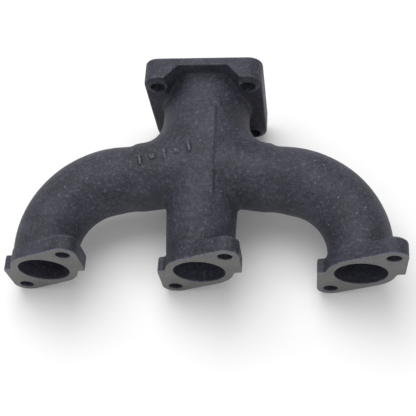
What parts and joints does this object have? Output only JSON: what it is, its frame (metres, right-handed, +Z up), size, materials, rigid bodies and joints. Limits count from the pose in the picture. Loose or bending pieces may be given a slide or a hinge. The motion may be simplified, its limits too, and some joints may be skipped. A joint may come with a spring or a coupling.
{
  "type": "exhaust manifold",
  "caption": "Cast-iron exhaust manifold: bent runners join side-by-side port flanges to one square outlet flange and carry the exhaust gas to it.",
  "frame": {"origin": "centre of the middle port's hole, on the cylinder-head gasket face", "axes": "+X along the cylinder head from port to port, +Y from the cylinder head towards the outlet flange, +Z up, square to both"},
  "size_m": [0.239, 0.12, 0.0774],
  "materials": {
    "casting": "as-cast grey iron with a matt black heat-proof coating"
  },
  "bodies": {
    "root": {"port_flange_left": "casting", "port_flange_middle": "casting", "port_flange_right": "casting", "runner_left": "casting", "runner_middle": "casting", "runner_right": "casting", "collector": "casting", "outlet_neck": "casting", "outlet_flange": "casting", "outlet_rail_left": "casting", "outlet_rail_right": "casting"}
  },
  "joints": []
}
